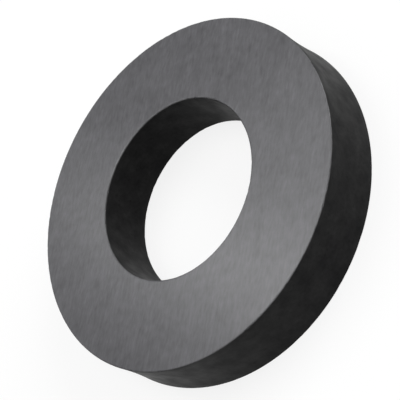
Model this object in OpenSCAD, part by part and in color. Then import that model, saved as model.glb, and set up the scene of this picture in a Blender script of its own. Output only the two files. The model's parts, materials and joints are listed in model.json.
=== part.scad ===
// Ring magnet: one ring of pressed and sintered ferrite, with its two pole faces ground flat.
// It lies on one pole face. The origin is the centre of that face, and +Z is the ring's axis.
// Lengths are in millimetres.

/* [Ring] */
// Outer diameter across the rim's lower edge, where it is widest
outer_d = 60; // [40:0.5:120]
// Thickness, from ground face to ground face
thickness = 10; // [4:0.5:30]

/* [Bore] */
// Diameter of the hole's straight wall
bore_d = 30.4; // [6:0.1:50]

/* [Rim] */
// How much less the rim measures at its upper end, which shrank more in the kiln (0 is a straight rim)
rim_taper = 1.2; // [0:0.1:3]
// How far the middle of the rim lies inside a straight line between its edges (0 is no hollow)
rim_waist = 0.15; // [0:0.05:0.6]

/* [Edges] */
// Radius worn on the rim's two edges by tumbling
rim_edge_r = 0.2; // [0.05:0.05:1]
// Radius worn on the bore's two edges by tumbling
bore_edge_r = 0.3; // [0.05:0.05:1]

/* [Hidden] */

bore_r = bore_d / 2;

// The rim leans in by this angle as it rises
rim_lean = atan(rim_taper / 2 / thickness);
// The section's corner angles where the rim meets the lower and the upper face
lower_corner = 90 - rim_lean;
upper_corner = 90 + rim_lean;
// How far a rounded edge reaches along each side of its corner
function edge_reach(edge_r, corner) = edge_r / tan(corner / 2);
lower_reach = edge_reach(rim_edge_r, lower_corner);
upper_reach = edge_reach(rim_edge_r, upper_corner);
// Radius of the rim's two corners before they are rounded. The lower one is set so that the round
// itself measures the outer diameter.
lower_r = outer_d / 2 - rim_edge_r + lower_reach;
upper_r = lower_r - rim_taper / 2;
rim_length = thickness / cos(rim_lean);
// Half the rim's length between its two rounded edges
rim_half = (rim_length - lower_reach - upper_reach) / 2;
// Radius of the shallow arc that spans the rim and dips by the waist at its middle
waist_arc_r = rim_waist > 0 ? (rim_half ^ 2 + rim_waist ^ 2) / (2 * rim_waist) : 0;

// Facets of a full turn of the ring, of an edge's round and of the waist's wide arc
ring_fn = 240;
edge_fn = 48;
waist_fn = 720;

// What a rounded edge loses from a corner at the origin. The metal lies between +X and the direction
// that stands at the corner's angle to it.
module edge_loss(edge_r, corner = 90) {
    reach = edge_reach(edge_r, corner);
    centre = [reach, edge_r];
    below = [reach, -edge_r];
    beyond = [reach * cos(corner) - edge_r * sin(corner), reach * sin(corner) + edge_r * cos(corner)];
    difference() {
        polygon([below, centre, beyond, below + beyond - centre]);
        translate(centre) circle(r = edge_r, $fn = edge_fn);
    }
}

// The disc whose side leaves the hollow along the leaning rim.
module rim_hollow() {
    translate([lower_r, 0]) rotate(rim_lean)
        translate([waist_arc_r - rim_waist, lower_reach + rim_half]) circle(r = waist_arc_r, $fn = waist_fn);
}

// Section through one side of the ring, with X as the radius and Y as the height.
module ring_section() {
    difference() {
        polygon([[bore_r, 0], [lower_r, 0], [upper_r, thickness], [bore_r, thickness]]);
        translate([bore_r, 0]) edge_loss(bore_edge_r);
        translate([bore_r, thickness]) mirror([0, 1]) edge_loss(bore_edge_r);
        translate([lower_r, 0]) mirror([1, 0]) edge_loss(rim_edge_r, lower_corner);
        translate([upper_r, thickness]) rotate(180) edge_loss(rim_edge_r, upper_corner);
        if (rim_waist > 0) rim_hollow();
    }
}

// The whole magnet: the section turned once about the axis.
module ferrite_ring() {
    color("dimgray") rotate_extrude($fn = ring_fn) ring_section();
}

ferrite_ring();
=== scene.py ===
import json
import math

import bpy
from mathutils import Matrix, Vector


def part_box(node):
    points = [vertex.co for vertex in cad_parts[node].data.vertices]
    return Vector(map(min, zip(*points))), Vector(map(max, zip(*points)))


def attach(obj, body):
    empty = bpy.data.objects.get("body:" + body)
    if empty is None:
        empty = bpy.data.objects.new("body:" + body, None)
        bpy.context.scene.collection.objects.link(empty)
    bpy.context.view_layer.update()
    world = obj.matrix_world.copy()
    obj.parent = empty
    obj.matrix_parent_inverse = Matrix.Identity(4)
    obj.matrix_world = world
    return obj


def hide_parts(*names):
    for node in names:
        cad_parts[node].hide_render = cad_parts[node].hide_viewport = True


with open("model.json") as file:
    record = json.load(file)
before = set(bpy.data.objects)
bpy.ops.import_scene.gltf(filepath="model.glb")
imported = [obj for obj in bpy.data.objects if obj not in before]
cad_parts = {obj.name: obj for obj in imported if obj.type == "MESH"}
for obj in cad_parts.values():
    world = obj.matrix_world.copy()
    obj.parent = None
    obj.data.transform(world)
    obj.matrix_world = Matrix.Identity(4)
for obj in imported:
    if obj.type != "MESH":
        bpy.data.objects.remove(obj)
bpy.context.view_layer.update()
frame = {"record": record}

# ---------------------------------------------------------------------------------------------
# The ring magnet. Ferrite powder is pressed in a die into one thick ring and fired hard as stone.
# The end away from the punch is packed less and shrinks more, so the rim leans in and dips a
# little. Both flat faces are then ground true, and tumbling dulls the four edges.
# ---------------------------------------------------------------------------------------------
MM = 0.001

ring_low, ring_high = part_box("ferrite_ring")
outer_radius = (ring_high.x - ring_low.x) / 2
thickness = ring_high.z - ring_low.z
bore_mount = next(mount for mount in frame["record"]["mounts"] if mount["name"] == "bore")
bore_radius = bore_mount["dims"]["r_mm"] * MM
rim_taper = 1.2 * MM
rim_waist = 0.15 * MM
rim_edge_radius = 0.2 * MM
bore_edge_radius = 0.3 * MM

steps_around = 720
edge_steps = 8
step_along_walls = 1.0 * MM
fired_unevenness = 0.03 * MM
unevenness_size = 7 * MM
chip_depth = 0.06 * MM
chip_size = 1.1 * MM
chips_from = 0.52
chips_full = 0.72
wear_seed = 7.0
# How squarely the surface faces up or down: a wall below the first share, flat above the second.
wall_below = 0.5
flat_above = 0.9999


def put(tree, socket, value):
    """Links a socket to another node's output, or sets it to a plain value."""
    if isinstance(value, bpy.types.NodeSocket):
        tree.links.new(value, socket)
    else:
        socket.default_value = value


def add(tree, kind, inputs=None, **settings):
    """Adds a node with its settings, and fills the inputs that are given by name or by place."""
    made = tree.nodes.new(kind)
    for name, value in settings.items():
        setattr(made, name, value)
    for name, value in (inputs or {}).items():
        put(tree, made.inputs[name], value)
    return made


def calc(tree, operation, a, b=0.0, clamp=False):
    """One step of arithmetic on numbers or sockets."""
    step = add(tree, "ShaderNodeMath", {0: a, 1: b}, operation=operation, use_clamp=clamp)
    return step.outputs[0]


def blend_range(tree, value, low, high, to_low=0.0, to_high=1.0):
    """Spreads a value from low to high over to_low to to_high, and holds it there outside."""
    inputs = {0: value, 1: low, 2: high, 3: to_low, 4: to_high}
    return add(tree, "ShaderNodeMapRange", inputs, clamp=True).outputs[0]


def moved_by(tree, geometry, offset):
    """The geometry with each point moved by its offset."""
    inputs = {"Geometry": geometry, "Offset": offset}
    return add(tree, "GeometryNodeSetPosition", inputs).outputs[0]


def ring_tree():
    """Geometry Nodes that turn the ring's section once about its axis and wear its surface."""
    tree = bpy.data.node_groups.new("pressed_ring", "GeometryNodeTree")
    for kind, names in (
        ("Float", ("Outer radius", "Bore radius", "Thickness", "Rim taper", "Rim waist")),
        ("Float", ("Rim edge radius", "Bore edge radius")),
        ("Int", ("Steps around", "Edge steps")),
        ("Float", ("Step along walls", "Fired unevenness", "Unevenness size")),
        ("Float", ("Chip depth", "Chip size", "Seed")),
        ("Material", ("Fired finish", "Ground finish")),
    ):
        for name in names:
            tree.interface.new_socket(name, in_out="INPUT", socket_type="NodeSocket" + kind)
    tree.interface.new_socket("Ring", in_out="OUTPUT", socket_type="NodeSocketGeometry")
    size = add(tree, "NodeGroupInput").outputs
    wall = calc(tree, "SUBTRACT", size["Outer radius"], size["Bore radius"])
    middle = calc(tree, "SUBTRACT", size["Outer radius"], calc(tree, "MULTIPLY", wall, 0.5))
    half_height = calc(tree, "MULTIPLY", size["Thickness"], 0.5)
    position = add(tree, "GeometryNodeInputPosition").outputs[0]
    place = add(tree, "ShaderNodeSeparateXYZ", {0: position}).outputs

    def hollow(height, half):
        """1 at half height, falling to 0 at the given height and beyond it."""
        share = calc(tree, "DIVIDE", height, half)
        return calc(tree, "SUBTRACT", 1.0, calc(tree, "MULTIPLY", share, share), clamp=True)

    # The section is a rectangle with rounded corners. Its bore side is at -X, its rim side at +X.
    on_rim_side = calc(tree, "GREATER_THAN", place["X"], 0.0)
    sides = {"Width": wall, "Height": size["Thickness"]}
    rectangle = add(tree, "GeometryNodeCurvePrimitiveQuadrilateral", sides)
    radii = {0: on_rim_side, 2: size["Bore edge radius"], 3: size["Rim edge radius"]}
    corner = add(tree, "ShaderNodeMix", radii).outputs[0]
    corners = {"Curve": rectangle.outputs[0], "Radius": corner, "Count": size["Edge steps"]}
    rounded = add(tree, "GeometryNodeFilletCurve", corners, mode="POLY").outputs[0]
    # Its long sides are divided, so that the walls and the faces have points of their own.
    next_point = add(tree, "GeometryNodeOffsetPointInCurve", {"Offset": 1}).outputs["Point Index"]
    next_place = add(tree, "GeometryNodeFieldAtIndex", data_type="FLOAT_VECTOR", domain="POINT")
    put(tree, next_place.inputs["Index"], next_point)
    in_use = [socket for socket in next_place.inputs if socket.enabled]
    put(tree, next(socket for socket in in_use if socket.name != "Index"), position)
    gap = {0: position, 1: next(socket for socket in next_place.outputs if socket.enabled)}
    side = add(tree, "ShaderNodeVectorMath", gap, operation="DISTANCE").outputs["Value"]
    cuts = calc(tree, "FLOOR", calc(tree, "DIVIDE", side, size["Step along walls"]))
    divided = add(tree, "GeometryNodeSubdivideCurve", {"Curve": rounded, "Cuts": cuts}).outputs[0]
    # The rim side leans in by half the taper as it rises, and less so towards the bore. The
    # section's +Y side comes to lie underneath when it is turned about the axis.
    risen = calc(tree, "SUBTRACT", 0.5, calc(tree, "DIVIDE", place["Y"], size["Thickness"]))
    outward = calc(tree, "DIVIDE", place["X"], calc(tree, "MULTIPLY", wall, 0.5), clamp=True)
    lean = calc(tree, "MULTIPLY", calc(tree, "MULTIPLY", risen, outward), size["Rim taper"])
    lean = calc(tree, "MULTIPLY", lean, 0.5)
    # It also dips by the waist at half height and meets its two edges undisturbed.
    straight_half = calc(tree, "SUBTRACT", half_height, size["Rim edge radius"])
    dip = calc(tree, "MULTIPLY", hollow(place["Y"], straight_half), on_rim_side)
    inward = calc(tree, "ADD", lean, calc(tree, "MULTIPLY", dip, size["Rim waist"]))
    shift = add(tree, "ShaderNodeCombineXYZ", {0: calc(tree, "MULTIPLY", inward, -1.0)}).outputs[0]
    section = moved_by(tree, divided, shift)

    # One turn of the section about the axis.
    turn = {"Radius": middle, "Resolution": size["Steps around"]}
    path = add(tree, "GeometryNodeCurvePrimitiveCircle", turn)
    sweep = {"Curve": path.outputs[0], "Profile Curve": section, "Fill Caps": False}
    ring = add(tree, "GeometryNodeCurveToMesh", sweep).outputs[0]

    # Wear goes inward from the surface: slow waves on the fired walls, lost grains on the edges.
    normal = add(tree, "GeometryNodeInputNormal").outputs[0]
    upright = add(tree, "ShaderNodeSeparateXYZ", {0: normal}).outputs["Z"]
    upright = calc(tree, "MULTIPLY", upright, upright)
    edge = calc(tree, "MULTIPLY", upright, calc(tree, "SUBTRACT", 1.0, upright))
    edge = calc(tree, "MULTIPLY", edge, 4.0)
    named = {"Geometry": ring, "Name": "edge", "Value": edge}
    kept = add(tree, "GeometryNodeStoreNamedAttribute", named, data_type="FLOAT", domain="POINT")
    ring = kept.outputs[0]

    def noise(feature_size, detail):
        seeded = add(tree, "ShaderNodeVectorMath", {0: position, 1: size["Seed"]}, operation="ADD")
        per_metre = calc(tree, "DIVIDE", 1.0, feature_size)
        spread = {"Vector": seeded.outputs[0], "Scale": per_metre, "Detail": detail}
        return add(tree, "ShaderNodeTexNoise", spread).outputs["Fac"]

    on_walls = calc(tree, "LESS_THAN", upright, wall_below)
    on_walls = calc(tree, "MULTIPLY", on_walls, hollow(place["Z"], half_height))
    waves = calc(tree, "MULTIPLY", noise(size["Unevenness size"], 2.0), on_walls)
    waves = calc(tree, "MULTIPLY", waves, size["Fired unevenness"])
    chips = blend_range(tree, noise(size["Chip size"], 3.0), chips_from, chips_full)
    chips = calc(tree, "MULTIPLY", chips, edge)
    chips = calc(tree, "MULTIPLY", chips, size["Chip depth"])
    loss = calc(tree, "MULTIPLY", calc(tree, "ADD", waves, chips), -1.0)
    worn = add(tree, "ShaderNodeVectorMath", {0: normal, "Scale": loss}, operation="SCALE")
    ring = moved_by(tree, ring, worn.outputs[0])
    ring = moved_by(tree, ring, add(tree, "ShaderNodeCombineXYZ", {2: half_height}).outputs[0])

    round_parts = calc(tree, "LESS_THAN", upright, flat_above)
    shading = {"Geometry": ring, "Shade Smooth": round_parts}
    ring = add(tree, "GeometryNodeSetShadeSmooth", shading).outputs[0]
    ring = add(tree, "GeometryNodeRealizeInstances", {"Geometry": ring}).outputs[0]
    fired = {"Geometry": ring, "Material": size["Fired finish"]}
    ring = add(tree, "GeometryNodeSetMaterial", fired).outputs[0]
    faces = calc(tree, "GREATER_THAN", upright, wall_below)
    ground = {"Geometry": ring, "Selection": faces, "Material": size["Ground finish"]}
    ring = add(tree, "GeometryNodeSetMaterial", ground).outputs[0]
    put(tree, add(tree, "NodeGroupOutput").inputs[0], ring)
    return tree


# Where the grinding wheel has cut, the ferrite is a dull mid grey with fine straight marks. Where
# the kiln left it, on the rim and in the bore, it is nearly black and matt, with a close grain
# and faint drag lines from the die.
ground_grey = (0.0823, 0.0816, 0.0875, 1.0)
fired_black = (0.004, 0.004, 0.0043, 1.0)
fired_grey = (0.0135, 0.0135, 0.0134, 1.0)
# The edge roundings are painted this lighter grey: partly the worn ferrite, partly a painted
# highlight.
edge_wear_and_highlight_grey = (0.11, 0.11, 0.112, 1.0)
grinding_heading = math.radians(22)
ground_roughness = (0.245, 0.265)
fired_roughness = (0.55, 0.40)
ground_gloss = 0.35
fired_gloss = 0.052
grinding_mark_depth = 0.0015 * MM
fired_grain_depth = 0.03 * MM
smudges_per_metre = 650.0
edge_breakup_per_metre = 900.0
drag_lines_per_metre = 1400.0
drag_line_stretch = 0.06


def shader_group(name, inputs, outputs):
    """An empty node group for materials, with its named inputs and outputs, all plain numbers."""
    tree = bpy.data.node_groups.new(name, "ShaderNodeTree")
    for socket in inputs:
        tree.interface.new_socket(socket, in_out="INPUT", socket_type="NodeSocketFloat")
    for socket in outputs:
        tree.interface.new_socket(socket, in_out="OUTPUT", socket_type="NodeSocketFloat")
    return tree, add(tree, "NodeGroupInput").outputs, add(tree, "NodeGroupOutput").inputs


def grain_group():
    """Close grain, pores and slow clouds of tone that run through the whole ring."""
    wanted = ("Grain per metre", "Clouds per metre", "Pore amount")
    tree, size, out = shader_group("ferrite_grain", wanted, ("Tone", "Clouds"))
    place = add(tree, "ShaderNodeTexCoord").outputs["Object"]
    close = {"Vector": place, "Scale": size["Grain per metre"], "Detail": 4.0, "Roughness": 0.6}
    grain = add(tree, "ShaderNodeTexNoise", close)
    slow = {"Vector": place, "Scale": size["Clouds per metre"], "Detail": 3.0}
    clouds = add(tree, "ShaderNodeTexNoise", slow)
    sparse = {"Vector": place, "Scale": calc(tree, "MULTIPLY", size["Grain per metre"], 0.5)}
    pores = add(tree, "ShaderNodeTexVoronoi", sparse)
    pit = blend_range(tree, pores.outputs["Distance"], 0.0, 0.22, 1.0, 0.0)
    pit = calc(tree, "MULTIPLY", pit, size["Pore amount"])
    put(tree, out["Tone"], calc(tree, "SUBTRACT", grain.outputs["Fac"], pit))
    put(tree, out["Clouds"], clouds.outputs["Fac"])
    return tree


def edge_wear_and_highlight_group():
    """Worn edges plus a painted highlight: lighter colour along the rounding, broken up by noise.
    """
    tree, size, out = shader_group("edge_wear_and_highlight", ("Amount",), ("Wear and highlight",))
    place = add(tree, "ShaderNodeTexCoord").outputs["Object"]
    edge = add(tree, "ShaderNodeAttribute", attribute_name="edge").outputs["Fac"]
    breakup = {"Vector": place, "Scale": edge_breakup_per_metre, "Detail": 3.0}
    broken = add(tree, "ShaderNodeTexNoise", breakup).outputs["Fac"]
    rubbed_and_lit = calc(tree, "MULTIPLY", edge, blend_range(tree, broken, 0.3, 0.7, 0.4, 1.0))
    put(tree, out["Wear and highlight"], calc(tree, "MULTIPLY", rubbed_and_lit, size["Amount"], clamp=True))
    return tree


grain = grain_group()
edge_wear_and_highlight = edge_wear_and_highlight_group()


def mixed(tree, share, first, second):
    """A colour between two colours."""
    blend = add(tree, "ShaderNodeMix", {0: share, 6: first, 7: second}, data_type="RGBA")
    return blend.outputs[2]


def toned(tree, colour, tone):
    """A colour made lighter or darker by a factor."""
    scaled = add(tree, "ShaderNodeVectorMath", {0: colour, "Scale": tone}, operation="SCALE")
    return scaled.outputs[0]


def ground_finish():
    """Mid grey, with straight marks of three sizes over smudges and slow clouds of tone."""
    material = bpy.data.materials.new("ground_ferrite")
    material.use_nodes = True
    tree = material.node_tree
    skin = tree.nodes["Principled BSDF"]
    place = add(tree, "ShaderNodeTexCoord").outputs["Object"]
    turn = {"Vector": place, "Rotation": (0.0, 0.0, -grinding_heading)}
    along = add(tree, "ShaderNodeMapping", turn).outputs[0]

    def marks(length, width):
        stretch = {0: along, 1: (1 / length, 1 / width, 0.0)}
        stretched = add(tree, "ShaderNodeVectorMath", stretch, operation="MULTIPLY").outputs[0]
        streaks = {"Vector": stretched, "Scale": 1.0, "Detail": 2.0}
        return add(tree, "ShaderNodeTexNoise", streaks).outputs["Fac"]

    broad = marks(9 * MM, 1.2 * MM)
    middle = marks(2.4 * MM, 0.55 * MM)
    fine = marks(1.3 * MM, 0.35 * MM)
    rubbed_on = {"Vector": place, "Scale": smudges_per_metre, "Detail": 2.0}
    smudges = add(tree, "ShaderNodeTexNoise", rubbed_on).outputs["Fac"]
    grains = {"Grain per metre": 6000.0, "Clouds per metre": 130.0, "Pore amount": 0.15}
    body = add(tree, "ShaderNodeGroup", node_tree=grain)
    for name, value in grains.items():
        put(tree, body.inputs[name], value)
    # The edge roundings are painted lighter: worn ferrite, and in part a painted highlight.
    wear_and_highlight = add(tree, "ShaderNodeGroup", node_tree=edge_wear_and_highlight)
    put(tree, wear_and_highlight.inputs["Amount"], 0.6)
    layers = (
        (broad, 0.25),
        (middle, 0.45),
        (fine, 0.5),
        (smudges, 0.5),
        (body.outputs["Clouds"], 0.35),
        (body.outputs["Tone"], 0.15),
    )
    tone = 1 - sum(share for layer, share in layers) / 2
    for layer, share in layers:
        tone = calc(tree, "ADD", tone, calc(tree, "MULTIPLY", layer, share))
    colour = toned(tree, ground_grey[:3], tone)
    put(tree, skin.inputs["Base Color"], mixed(tree, wear_and_highlight.outputs["Wear and highlight"], colour, edge_wear_and_highlight_grey))
    roughness = blend_range(tree, body.outputs["Clouds"], 0.3, 0.7, *ground_roughness)
    put(tree, skin.inputs["Roughness"], roughness)
    height = calc(tree, "MULTIPLY", middle, 0.6)
    height = calc(tree, "ADD", height, calc(tree, "MULTIPLY", fine, 0.4))
    relief = {"Strength": 1.0, "Distance": grinding_mark_depth, "Height": height}
    put(tree, skin.inputs["Normal"], add(tree, "ShaderNodeBump", relief).outputs[0])
    skin.inputs["Specular IOR Level"].default_value = ground_gloss
    return material


def fired_finish():
    """Nearly black and matt, with flecks, slow patches and drag lines that run up the walls."""
    material = bpy.data.materials.new("fired_ferrite")
    material.use_nodes = True
    tree = material.node_tree
    skin = tree.nodes["Principled BSDF"]
    place = add(tree, "ShaderNodeTexCoord").outputs["Object"]
    stretch = {0: place, 1: (1.0, 1.0, drag_line_stretch)}
    drawn = add(tree, "ShaderNodeVectorMath", stretch, operation="MULTIPLY").outputs[0]
    lines = {"Vector": drawn, "Scale": drag_lines_per_metre, "Detail": 3.0}
    drag = add(tree, "ShaderNodeTexNoise", lines).outputs["Fac"]
    grains = {"Grain per metre": 1500.0, "Clouds per metre": 420.0, "Pore amount": 0.4}
    body = add(tree, "ShaderNodeGroup", node_tree=grain)
    for name, value in grains.items():
        put(tree, body.inputs[name], value)
    # The edge roundings are painted lighter: worn ferrite, and in part a painted highlight that
    # lifts the shade where little light reaches them.
    wear_and_highlight = add(tree, "ShaderNodeGroup", node_tree=edge_wear_and_highlight)
    put(tree, wear_and_highlight.inputs["Amount"], 0.5)
    patches = blend_range(tree, body.outputs["Clouds"], 0.3, 0.7, 0.15, 0.85)
    flecks = calc(tree, "MULTIPLY", body.outputs["Tone"], 1.3)
    tone = calc(tree, "ADD", flecks, calc(tree, "MULTIPLY", drag, 0.3))
    tone = calc(tree, "ADD", tone, 0.25)
    colour = toned(tree, mixed(tree, patches, fired_black, fired_grey), tone)
    put(tree, skin.inputs["Base Color"], mixed(tree, wear_and_highlight.outputs["Wear and highlight"], colour, edge_wear_and_highlight_grey))
    roughness = blend_range(tree, patches, 0.0, 1.0, *fired_roughness)
    put(tree, skin.inputs["Roughness"], roughness)
    height = calc(tree, "MULTIPLY", body.outputs["Tone"], 0.7)
    height = calc(tree, "ADD", height, calc(tree, "MULTIPLY", drag, 0.3))
    relief = {"Strength": 0.5, "Distance": fired_grain_depth, "Height": height}
    put(tree, skin.inputs["Normal"], add(tree, "ShaderNodeBump", relief).outputs[0])
    skin.inputs["Specular IOR Level"].default_value = fired_gloss
    return material


# The pressed, fired and ground ring is one piece, and lies on its lower face.
ring_nodes = ring_tree()
blank = bpy.data.objects.new("blank", bpy.data.meshes.new("blank"))
bpy.context.scene.collection.objects.link(blank)
turning = blank.modifiers.new("turning", "NODES")
turning.node_group = ring_nodes
ring_inputs = {
    "Outer radius": outer_radius,
    "Bore radius": bore_radius,
    "Thickness": thickness,
    "Rim taper": rim_taper,
    "Rim waist": rim_waist,
    "Rim edge radius": rim_edge_radius,
    "Bore edge radius": bore_edge_radius,
    "Steps around": steps_around,
    "Edge steps": edge_steps,
    "Step along walls": step_along_walls,
    "Fired unevenness": fired_unevenness,
    "Unevenness size": unevenness_size,
    "Chip depth": chip_depth,
    "Chip size": chip_size,
    "Seed": wear_seed,
    "Fired finish": fired_finish(),
    "Ground finish": ground_finish(),
}
for socket in ring_nodes.interface.items_tree:
    if socket.in_out == "INPUT":
        turning[socket.identifier] = ring_inputs[socket.name]
evaluated = blank.evaluated_get(bpy.context.evaluated_depsgraph_get())
ring = bpy.data.objects.new("magnet_ring", bpy.data.meshes.new_from_object(evaluated))
bpy.context.scene.collection.objects.link(ring)
bpy.data.objects.remove(blank)
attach(ring, "root")
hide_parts("ferrite_ring")

# ---------------------------------------------------------------------------------------------
# The studio. The ring lies on a wide sheet of white paper, under four soft boxes and in an even
# pale surround.
# ---------------------------------------------------------------------------------------------
floor_reach = 3.0
paper_white = (0.9, 0.9, 0.9, 1.0)
paper_roughness = 0.9
white_share = 0.8
surround_level = 0.35

floor_mesh = bpy.data.meshes.new("floor")
quarters = ((-1, -1), (1, -1), (1, 1), (-1, 1))
floor_corners = [(x * floor_reach, y * floor_reach, 0) for x, y in quarters]
floor_mesh.from_pydata(floor_corners, [], [(0, 1, 2, 3)])
floor = bpy.data.objects.new("floor", floor_mesh)
bpy.context.scene.collection.objects.link(floor)
paper = bpy.data.materials.new("white_paper")
paper.use_nodes = True
paper_tree = paper.node_tree
paper_skin = paper_tree.nodes["Principled BSDF"]
paper_skin.inputs["Base Color"].default_value = paper_white
paper_skin.inputs["Roughness"].default_value = paper_roughness
paper_skin.inputs["Specular IOR Level"].default_value = 0.0
# What looks at the paper, directly or in a reflection, sees most of it as plain white.
ray = add(paper_tree, "ShaderNodeLightPath").outputs
seen = calc(paper_tree, "MAXIMUM", ray["Is Camera Ray"], ray["Is Glossy Ray"])
seen = calc(paper_tree, "MAXIMUM", seen, ray["Is Transmission Ray"])
white = add(paper_tree, "ShaderNodeEmission", {"Strength": 1.0}).outputs[0]
share = calc(paper_tree, "MULTIPLY", seen, white_share)
looks = {0: share, 1: paper_skin.outputs[0], 2: white}
paper_mix = add(paper_tree, "ShaderNodeMixShader", looks).outputs[0]
put(paper_tree, paper_tree.nodes["Material Output"].inputs["Surface"], paper_mix)
floor_mesh.materials.append(paper)

# Angles are in degrees, sizes in metres and powers in watts. Azimuth 0 is the camera's side.
soft_boxes = {
    "key": {"azimuth": 0, "elevation": 62, "width": 0.9, "height": 0.9, "power": 3.3},
    "strip": {"azimuth": 185, "elevation": 73, "width": 0.084, "height": 1.68, "power": 3.3},
    "window": {"azimuth": 174, "elevation": 64, "width": 0.4, "height": 0.75, "power": 3.0},
    "side": {"azimuth": 80, "elevation": 25, "width": 0.9, "height": 0.7, "power": 11.0},
}
box_distance = 1.2
for name, box in soft_boxes.items():
    lamp = bpy.data.lights.new(name, "AREA")
    lamp.shape = "RECTANGLE"
    lamp.size = box["width"]
    lamp.size_y = box["height"]
    lamp.energy = box["power"]
    azimuth = math.radians(box["azimuth"])
    elevation = math.radians(box["elevation"])
    level = Vector((math.sin(azimuth), -math.cos(azimuth), 0.0))
    toward = level * math.cos(elevation) + Vector((0.0, 0.0, math.sin(elevation)))
    light = bpy.data.objects.new(name, lamp)
    light.location = toward * box_distance
    light.rotation_euler = toward.to_track_quat("Z", "Y").to_euler()
    bpy.context.scene.collection.objects.link(light)

world = bpy.data.worlds.new("studio")
bpy.context.scene.world = world
world.use_nodes = True
surround = world.node_tree.nodes["Background"].inputs
surround["Color"].default_value = (1.0, 1.0, 1.0, 1.0)
surround["Strength"].default_value = surround_level

# ---------------------------------------------------------------------------------------------
# The camera. It looks down on the ring from one side, and is rolled well over, so that the ring
# stands tilted in the frame.
# ---------------------------------------------------------------------------------------------
camera_distance = 155.6 * MM
camera_elevation = math.radians(44.58)
camera_roll = math.radians(63.52)
camera_aim = Vector((0.0, -1.53 * MM, 5.0 * MM))
frame_pixels = 400
focal_pixels = 968.1

camera_data = bpy.data.cameras.new("camera")
camera_data.sensor_width = 36.0
camera_data.lens = focal_pixels / frame_pixels * camera_data.sensor_width
camera_data.clip_start = 0.005
camera = bpy.data.objects.new("camera", camera_data)
back = Vector((0.0, -math.cos(camera_elevation), math.sin(camera_elevation)))
tilt = Matrix.Rotation(math.radians(90) - camera_elevation, 4, "X")
roll = Matrix.Rotation(-camera_roll, 4, "Z")
camera.matrix_world = Matrix.Translation(camera_aim + back * camera_distance) @ tilt @ roll
bpy.context.scene.collection.objects.link(camera)
bpy.context.scene.camera = camera

bpy.context.scene.view_settings.view_transform = "Standard"
